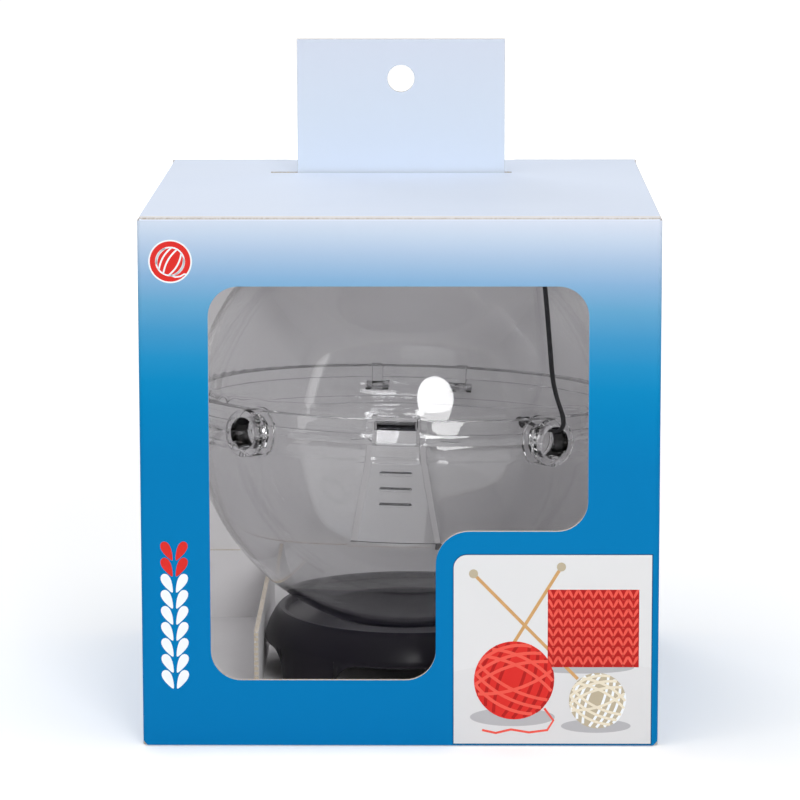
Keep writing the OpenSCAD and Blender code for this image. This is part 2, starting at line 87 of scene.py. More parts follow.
def linear(red, green, blue):
    """A colour written as sRGB bytes, in linear light."""
    def one(byte):
        c = byte / 255
        return c / 12.92 if c <= 0.04045 else ((c + 0.055) / 1.055) ** 2.4
    return (one(red), one(green), one(blue), 1.0)


class Nodes:
    """A node tree, with short ways to add and join nodes."""

    def __init__(self, tree):
        self.tree = tree

    def add(self, kind, **values):
        node = self.tree.nodes.new(kind)
        for name, value in values.items():
            setattr(node, name, value)
        return node

    def join(self, source, socket):
        """Join an output to a socket, or set the socket to a number or a colour."""
        if isinstance(source, (int, float, tuple)):
            socket.default_value = source
        else:
            self.tree.links.new(source, socket)

    def math(self, operation, *values):
        node = self.add("ShaderNodeMath", operation=operation)
        for value, socket in zip(values, node.inputs):
            self.join(value, socket)
        return node.outputs[0]

    def greatest(self, values):
        most, *others = values
        for value in others:
            most = self.math("MAXIMUM", most, value)
        return most

    def mix(self, factor, first, second):
        """A colour between two colours."""
        node = self.add("ShaderNodeMix", data_type="RGBA")
        for value, index in ((factor, 0), (first, 6), (second, 7)):
            self.join(value, node.inputs[index])
        return node.outputs[2]

    def level(self, factor, first, second):
        """A number between two numbers."""
        node = self.add("ShaderNodeMix")
        for value, index in ((factor, 0), (first, 2), (second, 3)):
            self.join(value, node.inputs[index])
        return node.outputs[0]

    def spread(self, value, low, high, to_low, to_high):
        """A value that runs from low to high, made to run from to_low to to_high."""
        node = self.add("ShaderNodeMapRange")
        ends = {"From Min": low, "From Max": high, "To Min": to_low, "To Max": to_high}
        for name, end in ends.items():
            node.inputs[name].default_value = end
        self.join(value, node.inputs["Value"])
        return node.outputs[0]

    def coords(self, kind="Object"):
        return self.add("ShaderNodeTexCoord").outputs[kind]

    def split(self, vector):
        """A vector's X, Y and Z."""
        node = self.add("ShaderNodeSeparateXYZ")
        self.join(vector, node.inputs[0])
        return node.outputs

    def noise(self, coords, scale, detail=2):
        node = self.add("ShaderNodeTexNoise")
        node.inputs["Scale"].default_value = scale
        node.inputs["Detail"].default_value = detail
        self.join(coords, node.inputs["Vector"])
        return node.outputs[0]

    def ramp(self, factor, stops):
        node = self.add("ShaderNodeValToRGB")
        band = node.color_ramp.elements
        while len(band) < len(stops):
            band.new(0.5)
        for element, (at, colour) in zip(band, stops):
            element.position = at
            element.color = colour
        self.join(factor, node.inputs[0])
        return node.outputs[0]

    def over(self, value, limit):
        """One where a value is over a limit, whatever its sign, and none elsewhere."""
        return self.math("GREATER_THAN", self.math("ABSOLUTE", value), limit)

    def within(self, at, low, high):
        """One inside a box given in millimetres, and none outside it."""
        inside = 1.0
        for value, least, most in zip(at, low, high):
            off = self.math("SUBTRACT", value, (least + most) / 2 * MM)
            near = self.math("LESS_THAN", self.math("ABSOLUTE", off), (most - least) / 2 * MM)
            inside = self.math("MULTIPLY", inside, near)
        return inside

    def globe_place(self):
        """The place in the leaning globe's own frame, as X, Y and Z."""
        node = self.add("ShaderNodeMapping", vector_type="TEXTURE")
        node.inputs["Location"].default_value = GLOBE_AT * MM
        node.inputs["Rotation"].default_value = GLOBE_TURN
        self.join(self.coords(), node.inputs["Vector"])
        return self.split(node.outputs[0])


class Look(Nodes):
    """A new material's nodes."""

    def __init__(self, name):
        self.material = bpy.data.materials.new(name)
        self.material.use_nodes = True
        super().__init__(self.material.node_tree)
        self.shader = self.tree.nodes["Principled BSDF"]
        self.surface = self.tree.nodes["Material Output"].inputs["Surface"]

    def set(self, **values):
        for name, value in values.items():
            self.shader.inputs[name.replace("_", " ")].default_value = value

    def colour(self, source):
        self.join(source, self.shader.inputs["Base Color"])

    def bump(self, height, distance, strength):
        """Raise the surface by a height, up to a distance in millimetres."""
        node = self.add("ShaderNodeBump")
        node.inputs["Distance"].default_value = distance * MM
        node.inputs["Strength"].default_value = strength
        self.join(height, node.inputs["Height"])
        self.join(node.outputs[0], self.shader.inputs["Normal"])


# The strap repeats the route and the coil's formula of the part's source, in millimetres
STRAP_W, STRAP_THICK = 1.8, 1.0
ROUTE = (
    (41.9, -52.5, 101.4), (46.7, -58.9, 101.6), (51.5, -65.3, 101.8), (53.6, -67.9, 103.8),
    (53.6, -67.3, 107.4), (51.8, -61.5, 112.6), (50.6, -56.5, 118.2), (50, -52.3, 125.2),
    (49.4, -47.5, 133.2), (48.9, -41.8, 140.2), (48.4, -35.2, 146.2), (47.8, -27.5, 151.2),
    (47.1, -18, 155.7), (46.8, -8, 158.4), (46.5, 1.5, 159.2))
ROUTE_STEPS, SMOOTH_STEPS = 6, 3
COIL_R, COIL_TURNS, COIL_STEPS, COIL_PITCH = 13, 2, 24, 2.4
COIL_OUT, COIL_LIFT, COIL_CLIMB = 53, 0.9, 0.5
COIL_SLOPE = math.asin(COIL_OUT / GLOBE_R)
COIL_BEARING = math.radians(13)
COIL_COUNT = 2 * COIL_TURNS * COIL_STEPS
LEAD = Vector((0, 1.8, 0))
# A knot's place, and the rope that it is tied from
KNOT_R, KNOT_RISE = 2.2, 0.8
KNOT_STEPS, KNOT_LOOP, KNOT_SWING, KNOT_DEPTH = 96, 1.0, 0.42, 0.75
KNOT_ROPE_W, KNOT_ROPE_THICK = 1.35, 1.15
KNOT_FACING = Vector((0.1, 1, 0.2))
# How square the strap's oval section is; under one is squarer
OVAL = 0.75


def coil_point(i):
    turn = i / COIL_STEPS
    inward = turn if turn <= COIL_TURNS else 2 * COIL_TURNS - turn
    r = COIL_R - COIL_PITCH * inward
    climb = min(max(turn - COIL_TURNS + COIL_CLIMB / 2, 0) / COIL_CLIMB, 1)
    a = math.pi + 2 * math.pi * turn
    return Vector((r * math.cos(a), -r * math.sin(a), COIL_LIFT + COIL_PITCH * climb))


def shoulder(p):
    """A point over the coil's middle, carried onto the dome's shoulder."""
    h = p.z + GLOBE_R
    x = p.x * math.cos(COIL_SLOPE) + h * math.sin(COIL_SLOPE)
    z = h * math.cos(COIL_SLOPE) - p.x * math.sin(COIL_SLOPE)
    east = x * math.cos(COIL_BEARING) - p.y * math.sin(COIL_BEARING)
    north = x * math.sin(COIL_BEARING) + p.y * math.cos(COIL_BEARING)
    return GLOBE_AT + Vector((east, north, z))


def smooth(points, k):
    """Points on a smooth curve through the given ones, k to each."""
    out = []
    last = len(points) - 1
    for i in range(last):
        a, b = points[max(i - 1, 0)], points[i]
        c, d = points[i + 1], points[min(i + 2, last)]
        for j in range(k):
            t = j / k
            out.append(0.5 * (2 * b + (c - a) * t + (2 * a - 5 * b + 4 * c - d) * t * t
                + (3 * b - a - 3 * c + d) * t ** 3))
    return out + [points[last]]


def link_mesh(name, bm, material, body, smooth_angle=None):
    """A new piece from a bmesh in millimetres, riding on a body."""
    bmesh.ops.scale(bm, vec=(MM, MM, MM), verts=bm.verts)
    bmesh.ops.recalc_face_normals(bm, faces=bm.faces)
    mesh = bpy.data.meshes.new(name)
    bm.to_mesh(mesh)
    bm.free()
    if smooth_angle is not None:
        mesh.shade_smooth()
        mesh.set_sharp_from_angle(angle=math.radians(smooth_angle))
    piece = bpy.data.objects.new(name, mesh)
    bpy.context.scene.collection.objects.link(piece)
    mesh.materials.append(material)
    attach(piece, body)
    return piece


def tube(bm, points, wide, thick, facing, sides=12):
    """A closed tube of oval section along points; facing(p) is the way its flat side looks."""
    def oval(value):
        return math.copysign(abs(value) ** OVAL, value)

    rings = []
    for i, p in enumerate(points):
        along = (points[min(i + 1, len(points) - 1)] - points[max(i - 1, 0)]).normalized()
        out = facing(p)
        out = (out - along * out.dot(along)).normalized()
        across = along.cross(out)
        ring = []
        for k in range(sides):
            a = 2 * math.pi * k / sides
            u = oval(math.cos(a)) * wide / 2
            v = oval(math.sin(a)) * thick / 2
            ring.append(bm.verts.new(p + across * u + out * v))
        rings.append(ring)
    for one, two in zip(rings, rings[1:]):
        for k in range(sides):
            bm.faces.new((one[k], one[(k + 1) % sides], two[(k + 1) % sides], two[k]))
    bm.faces.new(rings[0])
    bm.faces.new(rings[-1])


def strap_black():
    n = Look("strap_black")
    weave = n.noise(n.coords(), WEAVE)
    n.colour(n.ramp(weave, [(0.35, linear(8, 8, 10)), (0.65, linear(30, 30, 34))]))
    n.bump(weave, 0.05, 0.8)
    n.set(Roughness=0.62, Specular_IOR_Level=0.3)
    return n.material


STRAP = strap_black()


def away_from_globe(p):
    return (p - GLOBE_AT).normalized()


def trefoil_knot(name, middle, cad_node):
    """A small overhand knot in place of the source's plain ball."""
    bm = bmesh.new()
    points = []
    for i in range(KNOT_STEPS + 1):
        t = 2 * math.pi * i / KNOT_STEPS
        r = KNOT_LOOP + KNOT_SWING * math.cos(3 * t)
        depth = KNOT_DEPTH * math.sin(3 * t)
        points.append(middle + Vector((r * math.cos(2 * t), depth, r * math.sin(2 * t))))
    tube(bm, points, KNOT_ROPE_W, KNOT_ROPE_THICK, lambda p: KNOT_FACING, 8)
    knot = link_mesh(name, bm, STRAP, "dome", 60)
    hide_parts(cad_node)
    return knot


def make_strap():
    coil = [coil_point(i) for i in range(COIL_COUNT + 1)]
    coil = [shoulder(p) for p in [coil[0] - LEAD] + coil + [coil[-1] + LEAD]]
    run = smooth([Vector(p) for p in ROUTE] + [coil[0]], ROUTE_STEPS)
    path = run + smooth(coil, SMOOTH_STEPS)[1:]
    bm = bmesh.new()
    tube(bm, path, STRAP_W, STRAP_THICK, away_from_globe)
    strap = link_mesh("carry_strap", bm, STRAP, "dome", 50)
    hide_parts("strap_run", "strap_coil")
    start = path[0] - (path[1] - path[0]).normalized() * KNOT_R
    inner = trefoil_knot("strap_knot_inside", start, "strap_inner_knot")
    last = coil_point(COIL_COUNT) + LEAD + Vector((0, KNOT_R, KNOT_RISE))
    outer = trefoil_knot("strap_knot_end", shoulder(last), "strap_end_knot")


make_strap()


# Carton board
LINER = linear(232, 233, 236)
CORE = linear(200, 188, 168)
CORE_DARK = linear(143, 124, 102)
INSIDE = linear(226, 225, 226)
INSIDE_DIM = linear(215, 213, 214)
# Heights in millimetres and the print's colour there
PRINT_TOP = 177
PRINT_STOPS = (
    (0, linear(0, 117, 178)),
    (95, linear(0, 122, 182)),
    (112, linear(0, 129, 187)),
    (120, linear(8, 134, 190)),
    (128, linear(34, 141, 194)),
    (137, linear(66, 149, 197)),
    (146, linear(98, 162, 202)),
    (155, linear(136, 176, 212)),
    (163, linear(170, 194, 221)),
    (170, linear(196, 211, 230)),
    (PRINT_TOP, linear(216, 223, 237)))
# The print's fade to pale lags a little towards the right, and wavers
PRINT_LAG, PRINT_WAVER = 0.02, 0.012
# In millimetres: one wave of the core, and one of the faint waves that it presses into the liner
FLUTE_PITCH, WASHBOARD_PITCH = 1.7, 2.2
FLUTE_SHARE = 0.6
WASHBOARD_HIGH, FIBRE_HIGH = 0.12, 0.5
# Where the carton's outside begins, a little inside its faces, and the same across its upright folds
OUT, OUT_TOP, OUT_UNDER, OUT_FOLD = 84.95, 175.9, 0.05, 168.4
# The carton's outsides
LEFT_RIGHT, FRONT_BACK, TOP, UNDER, FOLDS = range(5)
# How far a normal turns along an axis: over an outside's rounded edges, and on a board's flat face
TURNED, FLAT = 0.35, 0.6
# The cradle's cut edges: faces that look up over this height, and forward ahead of this depth
CRADLE_FLOOR, CRADLE_BACK = 5, 0
CRADLE_TURNED = 0.5
BOARD_ROUGH, PRINT_ROUGH = 0.85, 0.5


def wave(n, along, pitch):
    return n.math("SINE", n.math("MULTIPLY", along, 2 * math.pi / (pitch * MM)))


def board_inside(n, coords):
    return n.mix(n.noise(coords, BLOTCH, 3), INSIDE_DIM, INSIDE)


def cut_edge(n, along, fibre):
    """The board's cut edge, with its fluted core between the liners."""
    flute = n.math("GREATER_THAN", n.math("ADD", wave(n, along, FLUTE_PITCH), fibre), FLUTE_SHARE)
    return n.mix(flute, CORE, n.mix(fibre, CORE_DARK, LINER))


def board_material(name, colour_of, flute_axis, plain, cut=()):
    """Printed board with pale liners and a fluted core on its cut edges.

    plain names the axes along which the board's faces look. cut names the carton's outsides on
    which this board shows cut edges, and no print.
    """
    n = Look(name)
    coords = n.coords()
    at, normal = n.split(coords), n.split(n.coords("Normal"))
    half = [n.math("ABSOLUTE", at[axis]) for axis in (X, Y)]
    looks = [n.over(normal[axis], TURNED) for axis in (X, Y, Z)]
    upright = n.math("LESS_THAN", n.math("ABSOLUTE", normal[Z]), TURNED)
    outsides = {
        LEFT_RIGHT: (n.math("GREATER_THAN", half[X], OUT * MM), looks[X]),
        FRONT_BACK: (n.math("GREATER_THAN", half[Y], OUT * MM), looks[Y]),
        TOP: (n.math("GREATER_THAN", at[Z], OUT_TOP * MM), looks[Z]),
        UNDER: (n.math("LESS_THAN", at[Z], OUT_UNDER * MM), looks[Z]),
        FOLDS: (n.math("GREATER_THAN", n.math("ADD", *half), OUT_FOLD * MM), upright)}
    outer = n.greatest([n.math("MULTIPLY", *both) for side, both in outsides.items() if side not in cut])
    face = n.greatest([n.over(normal[axis], FLAT) for axis in plain])
    fibre = n.noise(coords, FIBRE, 3)
    bare = n.mix(face, cut_edge(n, at[flute_axis], fibre), board_inside(n, coords))
    n.colour(n.mix(outer, bare, colour_of(n, coords, at)))
    n.join(n.spread(outer, 0, 1, BOARD_ROUGH, PRINT_ROUGH), n.shader.inputs["Roughness"])
    pressed = n.math("MULTIPLY", wave(n, at[flute_axis], WASHBOARD_PITCH), WASHBOARD_HIGH)
    n.bump(n.math("ADD", pressed, n.math("MULTIPLY", fibre, FIBRE_HIGH)), 0.02, 0.25)
    n.set(Specular_IOR_Level=0.05)
    return n.material


def print_gradient(n, coords, at):
    lag = n.math("MULTIPLY", at[X], PRINT_LAG)
    waver = n.math("MULTIPLY", n.noise(coords, WAVER), PRINT_WAVER)
    height = n.math("DIVIDE", n.math("ADD", at[Z], lag), PRINT_TOP * MM)
    height = n.math("SUBTRACT", n.math("ADD", height, waver), PRINT_WAVER / 2)
    return n.ramp(height, [(z / PRINT_TOP, colour) for z, colour in PRINT_STOPS])


def print_pale(n, coords, at):
    return n.mix(n.noise(coords, CLOUD), linear(219, 229, 246), linear(225, 234, 249))


def print_blue(n, coords, at):
    return n.mix(n.noise(coords, CLOUD), linear(0, 117, 178), linear(2, 121, 182))


def cradle_material():
    """Pale folded board; its cut edges are the walls' tops and their front ends."""
    n = Look("cradle")
    coords = n.coords()
    at, normal = n.split(coords), n.split(n.coords("Normal"))
    fibre = n.noise(coords, FIBRE, 3)
    top = n.math("MULTIPLY", n.math("GREATER_THAN", normal[Z], CRADLE_TURNED),
        n.math("GREATER_THAN", at[Z], CRADLE_FLOOR * MM))
    ahead = n.math("MULTIPLY", n.math("LESS_THAN", normal[Y], -CRADLE_TURNED),
        n.math("LESS_THAN", at[Y], CRADLE_BACK * MM))
    edge = cut_edge(n, n.math("ADD", at[Y], at[Z]), fibre)
    n.colour(n.mix(n.math("MAXIMUM", top, ahead), board_inside(n, coords), edge))
    n.bump(fibre, 0.02, 0.25)
    n.set(Roughness=BOARD_ROUGH, Specular_IOR_Level=0.1)
    return n.material


def tag_material():
    """Pale blue board, a little darker towards the top than at the bottom, with a plain pale brown edge.
    """
    n = Look("carton_tag")
    coords = n.coords()
    low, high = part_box("hang_tag")
    height = n.math("DIVIDE", n.math("SUBTRACT", n.split(coords)[Z], low.z), high.z - low.z)
    face = n.ramp(height, [(0.0, linear(219, 230, 245)), (0.5, linear(214, 224, 237)),
        (1.0, linear(212, 219, 232))])
    fibre = n.noise(coords, FIBRE, 3)
    edge = n.mix(fibre, linear(170, 152, 128), linear(214, 205, 190))
    n.colour(n.mix(n.over(n.split(n.coords("Normal"))[Y], FLAT), edge, face))
    n.bump(fibre, 0.01, 0.25)
    n.set(Roughness=0.55, Specular_IOR_Level=0.1)
    return n.material


def dress(name, material):
    mesh = nodes[name].data
    mesh.materials.clear()
    mesh.materials.append(material)


# In the globe's own frame: the latch tab's root, whose edges stay crisp
ROOT_LOW, ROOT_HIGH = (-15.6, -90, -35.65), (15.6, 0, -33.65)


def edge_marks(angle):
    """Modifier nodes that mark the edges over an angle, but for those at the latch tab's root."""
    tree = bpy.data.node_groups.new("edge_marks", "GeometryNodeTree")
    for way in ("INPUT", "OUTPUT"):
        tree.interface.new_socket("Geometry", in_out=way, socket_type="NodeSocketGeometry")
    n = Nodes(tree)
    away = n.add("ShaderNodeVectorMath", operation="SUBTRACT")
    n.join(n.add("GeometryNodeInputPosition").outputs[0], away.inputs[0])
    away.inputs[1].default_value = GLOBE_AT * MM
    upright = n.add("ShaderNodeVectorRotate", rotation_type="EULER_XYZ", invert=True)
    n.join(away.outputs[0], upright.inputs["Vector"])
    upright.inputs["Rotation"].default_value = GLOBE_TURN
    root = n.within(n.split(upright.outputs[0]), ROOT_LOW, ROOT_HIGH)
    turn = n.add("GeometryNodeInputMeshEdgeAngle").outputs["Unsigned Angle"]
    sharp = n.math("GREATER_THAN", turn, math.radians(angle))
    mark = n.add("GeometryNodeStoreNamedAttribute", data_type="FLOAT", domain="EDGE")
    mark.inputs["Name"].default_value = "bevel_weight_edge"
    n.join(n.add("NodeGroupInput").outputs[0], mark.inputs["Geometry"])
    n.join(n.math("MULTIPLY", sharp, n.math("SUBTRACT", 1.0, root)), mark.inputs["Value"])
    n.join(mark.outputs[0], n.add("NodeGroupOutput").inputs[0])
    return tree


def rounded(name, width, segments=3, angle=30, marks=None):
    """Round a carried-over piece's edges over an angle, or those that marks gives a weight."""
    piece = nodes[name]
    weld = piece.modifiers.new("weld", "WELD")
    weld.merge_threshold = 0.002 * MM
    if marks is not None:
        piece.modifiers.new("marks", "NODES").node_group = marks
    bevel = piece.modifiers.new("round", "BEVEL")
    bevel.width = width * MM
    bevel.segments = segments
    bevel.limit_method = "ANGLE" if marks is None else "WEIGHT"
    bevel.angle_limit = math.radians(angle)
    bevel.use_clamp_overlap = True
    bevel.harden_normals = True


for panel, look, flute_axis, faces in (
        ("front_panel", "carton_front", X, Y), ("back_panel", "carton_back", X, Y),
        ("left_panel", "carton_left", Y, X), ("right_panel", "carton_right", Y, X)):
    dress(panel, board_material(look, print_gradient, flute_axis, (faces,)))
dress("lid_panel", board_material("carton_lid", print_pale, Y, (Z,), (LEFT_RIGHT,)))
dress("base_cradle", cradle_material())
PLAIN = board_material("carton_inner_board", print_blue, X, (X, Y, Z),
    (LEFT_RIGHT, FRONT_BACK, TOP, FOLDS))
for part in ("seam_flap", "tuck_tongues", "tag_carrier", "dust_flap_left", "dust_flap_right",
        "bottom_flap_left", "bottom_flap_right", "bottom_flap_front", "bottom_flap_back"):
    dress(part, PLAIN)
dress("hang_tag", tag_material())
rounded("lid_panel", 0.45)
rounded("hang_tag", 0.2, 2)


# In the globe's own frame: the latch's slot, whose walls and the latch head in it get painted shade,
# and the run gap at the latch tab's root, where the real tab is one with the bowl and so shows no edge
SLOT_SHADE_LOW, SLOT_SHADE_HIGH = (-7.0, -90, 5.2), (7.0, -68, 8.0)
JOIN_LOW, JOIN_HIGH = (-12.8, -90, -35.5), (12.8, -50, -33.8)
JOIN_TURNED = 0.75


def clear_plastic():
    """Clear plastic, which lets daylight through to what it holds, with painted shade in the latch's
    slot.
    """
    n = Look("clear_plastic")
    n.set(Roughness=0.015, IOR=1.5, Transmission_Weight=1.0)
    at = n.globe_place()
    # Painted shade: the plastic turns dark grey inside the latch's slot box, on its walls and on the
    # latch head there
    n.colour(n.mix(n.within(at, SLOT_SHADE_LOW, SLOT_SHADE_HIGH), linear(235, 235, 236), linear(30, 30, 34)))
    rays = n.add("ShaderNodeLightPath").outputs
    through = n.add("ShaderNodeBsdfTransparent")
    through.inputs["Color"].default_value = (0.95, 0.95, 0.953, 1)
    cut_face = n.over(n.split(n.coords("Normal"))[Z], JOIN_TURNED)
    joined = n.math("MULTIPLY", cut_face, n.within(at, JOIN_LOW, JOIN_HIGH))
    blend = n.add("ShaderNodeMixShader")
    n.join(n.greatest([rays["Is Shadow Ray"], rays["Is Diffuse Ray"], joined]), blend.inputs[0])
    n.join(n.shader.outputs[0], blend.inputs[1])
    n.join(through.outputs[0], blend.inputs[2])
    n.join(blend.outputs[0], n.surface)
    return n.material


CLEAR = clear_plastic()
for part in ("upper_dome", "lower_bowl", "latch_tab", "hinge_pins"):
    dress(part, CLEAR)
rounded("upper_dome", 0.35, 2, 40)
rounded("lower_bowl", 0.35, 2, marks=edge_marks(40))


def stand_black():
    n = Look("stand_black")
    coords = n.coords()
    n.colour(n.ramp(n.noise(coords, TINT), [(0.3, linear(14, 11, 20)), (0.7, linear(19, 16, 27))]))
    n.bump(n.noise(coords, MOULDED, 3), 0.01, 0.35)
    n.set(Roughness=0.3, Specular_IOR_Level=0.34)
    return n.material


dress("base_stand", stand_black())
rounded("base_stand", 0.6, 3, 35)


# Prints on the carton's front: shapes in X and Z, each a hair in front of the panel, and the
# later ones in front of the earlier ones where they meet. All in millimetres
FRONT_Y = -85.0
SUNK = 0.02
PRINT_LIFT = 0.03


def flat_material(name, colour, colour_two=None, scale=120):
    n = Look(name)
    coords = n.coords()
    n.colour(n.mix(n.noise(coords, scale), colour, colour_two or colour))
    n.bump(n.noise(coords, FIBRE, 3), 0.01, 0.25)
    n.set(Roughness=0.5, Specular_IOR_Level=0.1)
    return n.material


def prism(bm, outline, lift):
    """A thin plate with an outline in X and Z, its front lift ahead of the panel."""
    front = [bm.verts.new((x, FRONT_Y - lift, z)) for x, z in outline]
    back = [bm.verts.new((x, FRONT_Y + SUNK, z)) for x, z in outline]
    bm.faces.new(front)
    bm.faces.new(back[::-1])
    count = len(outline)
    for i in range(count):
        j = (i + 1) % count
        bm.faces.new((front[j], front[i], back[i], back[j]))


def decal(name, outlines, material, lift=PRINT_LIFT):
    bm = bmesh.new()
    for outline in outlines:
        prism(bm, outline, lift)
    return link_mesh(name, bm, material, "carton")


def turned(cx, cz, u, v, turn):
    """The point u along and v across, in a drawing at (cx, cz) turned by turn."""
    return (cx + u * math.cos(turn) - v * math.sin(turn), cz + u * math.sin(turn) + v * math.cos(turn))


def disc(cx, cz, r, steps=48, squash=1.0):
    out = []
    for i in range(steps):
        a = 2 * math.pi * i / steps
        out.append((cx + r * math.cos(a), cz + squash * r * math.sin(a)))
    return out


def stroke(points, width):
    """The outline of a line of even width through points."""
    left, right = [], []
    last = len(points) - 1
    for i, (x, z) in enumerate(points):
        ax, az = points[max(i - 1, 0)]
        bx, bz = points[min(i + 1, last)]
        size = math.hypot(bx - ax, bz - az)
        nx, nz = -(bz - az) / size, (bx - ax) / size
        left.append((x + nx * width / 2, z + nz * width / 2))
        right.append((x - nx * width / 2, z - nz * width / 2))
    return left + right[::-1]


# A stitch's two legs: their size and place as shares of its step, how far they lean apart, and
# how round and how much broader above they are
LEG_LONG, LEG_WIDE, LEG_OUT = 1.28, 0.36, 0.2
LEG_LEAN = math.radians(27)
LEG_ROUND, LEG_BROAD = 0.72, 0.36


def leaf(cx, cz, length, width, turn, steps=20):
    """One leg of a knitted stitch, broad above and pointed below."""
    out = []
    for i in range(steps):
        a = 2 * math.pi * i / steps
        u = length / 2 * math.cos(a)
        v = width / 2 * math.sin(a) * (LEG_ROUND + LEG_BROAD * math.cos(a))
        out.append(turned(cx, cz, u, v, turn))
    return out


def stitches(x0, z0, across, up, step_x, step_z):
    out = []
    for i in range(across):
        for k in range(up):
            cx, cz = x0 + (i + 0.5) * step_x, z0 + (k + 0.5) * step_z
            for side in (-1, 1):
                leg_x, turn = cx + side * step_x * LEG_OUT, math.pi / 2 - side * LEG_LEAN
                out.append(leaf(leg_x, cz, step_z * LEG_LONG, step_x * LEG_WIDE, turn))
    return out


# Strands stay inside the ball by this share of its radius
BALL_FILL = 0.97


def ball_strands(cx, cz, r, turn, offsets, bulge, width, steps=12):
    """Curved strands of yarn on a ball, all running one way."""
    turn = math.radians(turn)
    out = []
    for offset in offsets:
        half = math.sqrt(max(1 - offset * offset, 0)) * r * BALL_FILL
        side = 0.5 if offset >= 0 else -0.5
        line = []
        for i in range(steps + 1):
            t = -1 + 2 * i / steps
            u, v = half * t, r * (offset + bulge * (1 - t * t) * side)
            reach = math.hypot(u, v)
            fit = min(1, BALL_FILL * r / reach) if reach else 1
            line.append(turned(cx, cz, u * fit, v * fit, turn))
        out.append(stroke(line, width))
    return out


RED = flat_material("print_red", linear(214, 44, 40), linear(222, 52, 46))
DEEP_RED = flat_material("print_deep_red", linear(170, 30, 30), linear(186, 36, 34))
CORAL = flat_material("print_coral", linear(232, 84, 72), linear(240, 98, 84))
WHITE = flat_material("print_white", linear(244, 247, 250), linear(238, 243, 248))
PALE = flat_material("print_pale_ground", linear(228, 228, 228), linear(221, 222, 224), 16)
PALE_FLOOR = flat_material("print_pale_floor", linear(214, 215, 217), linear(222, 222, 223), 16)
SHADE = flat_material("print_shadow", linear(176, 176, 180), linear(186, 186, 189), 60)
BORDER = flat_material("print_border", linear(16, 84, 128))
WOOD = flat_material("print_wood", linear(196, 150, 96), linear(214, 170, 116), 500)
CREAM = flat_material("print_cream", linear(236, 228, 208), linear(228, 218, 196), 300)
TAUPE = flat_material("print_taupe", linear(188, 176, 152))


# A round badge with a ball of yarn at the top left
BADGE_AT = (-74.3, 161.2)
BADGE_R, BADGE_DISC_R, BADGE_BALL_R = 7.1, 6.6, 4.6
BADGE_STRANDS = (-0.75, -0.4, 0, 0.4, 0.75)
BADGE_TAIL = ((0.2, 0), (1.6, -0.5), (3.2, -0.3), (4.6, 0.5), (5.4, 0.3))
BADGE_LINE = 0.5
BADGE_DISC_LIFT, BADGE_LINE_LIFT = 0.04, 0.05


def make_badge():
    x0, z0 = BADGE_AT
    decal("badge_ring", [disc(x0, z0, BADGE_R, 64)], WHITE)
    decal("badge_disc", [disc(x0, z0, BADGE_DISC_R, 64)], RED, BADGE_DISC_LIFT)
    strands = ball_strands(x0, z0, BADGE_BALL_R, 60, BADGE_STRANDS, 0.35, 0.55)
    rim = disc(x0, z0, BADGE_BALL_R, 30)
    tail = [(x0 + x, z0 - BADGE_BALL_R + z) for x, z in BADGE_TAIL]
    lines = [stroke(rim + rim[:1], BADGE_LINE), stroke(tail, BADGE_LINE)]
    decal("badge_strands", strands + lines, WHITE, BADGE_LINE_LIFT)


make_badge()


# A knitted column up the left edge, white with two red stitches
BRAID_X, BRAID_Z, BRAID_WIDE, BRAID_STEP = -79.6, 19.5, 11.0, 5.4
BRAID_WHITE, BRAID_RED = 7, 2
BRAID_RED_Z = BRAID_Z + BRAID_WHITE * BRAID_STEP
decal("braid_white", stitches(BRAID_X, BRAID_Z, 1, BRAID_WHITE, BRAID_WIDE, BRAID_STEP), WHITE)
decal("braid_red", stitches(BRAID_X, BRAID_RED_Z, 1, BRAID_RED, BRAID_WIDE, BRAID_STEP), RED)


# The inset picture at the bottom right: yarn, needles and a knitted square
PIC_X0, PIC_X1, PIC_Z0, PIC_Z1, PIC_R = 17.6, 82.6, 0.6, 64.2, 4.4
PIC_BORDER, PIC_BORDER_BELOW = 0.35, 0.4
PIC_FLOOR = [(PIC_X0, PIC_Z0), (PIC_X0, 25), (30, 27.5), (48, 28.6), (66, 28.2), (PIC_X1, 26.4),
    (PIC_X1, PIC_Z0)]
NEEDLE_W, NEEDLE_END_R = 1.1, 1.5
NEEDLE_ONE, NEEDLE_TWO = [(24.5, 57.5), (58.5, 22.5)], [(52.5, 59.5), (27.5, 18.5)]
NEEDLE_ENDS = ((24.1, 57.9), (52.9, 60.2))
SQUARE = [(48.5, 26.5), (78.5, 26.5), (78.5, 52.6), (48.5, 52.6)]
SQUARE_STITCHES = (48.7, 26.8, 9, 8, 3.28, 3.2)
# Each ball's middle and radius, and its shadow's middle, radius and flatness
BALL_LARGE, BALL_LARGE_SHADOW = (37.5, 22.0, 13.2), (37, 9.6, 14, 40, 0.22)
BALL_SMALL, BALL_SMALL_SHADOW = (65.0, 15.2, 9.4), (64.5, 6.6, 11.5, 40, 0.2)
SQUARE_SHADOW = (60, 26.4, 17, 40, 0.12)
TAIL_W = 0.75
TAIL = [(47.5, 12.6), (50.5, 8.5), (48.5, 5.2), (42.5, 4.4), (36.5, 5.4), (31.5, 4.2), (27, 5.2)]
# The lays of strands on a ball, from the lowest: their turn in degrees, offsets and bulge
BALL_SPREAD = (-0.8, -0.55, -0.3, -0.05, 0.2, 0.45, 0.7)
BALL_LAYS = (("_under", 70, BALL_SPREAD, 0.3), ("_middle", -28, BALL_SPREAD[1:6], 0.35),
    ("_top", 18, BALL_SPREAD[3:], 0.35))
GROUND_LIFT, FLOOR_LIFT, SHADOW_LIFT = 0.04, 0.045, 0.05
NEEDLE_ONE_LIFT, NEEDLE_TWO_LIFT, NEEDLE_END_LIFT = 0.053, 0.056, 0.06
SQUARE_LIFT, STITCH_LIFT, TAIL_LIFT = 0.058, 0.068, 0.06
BALL_LIFT, LAY_LIFT = 0.07, 0.01


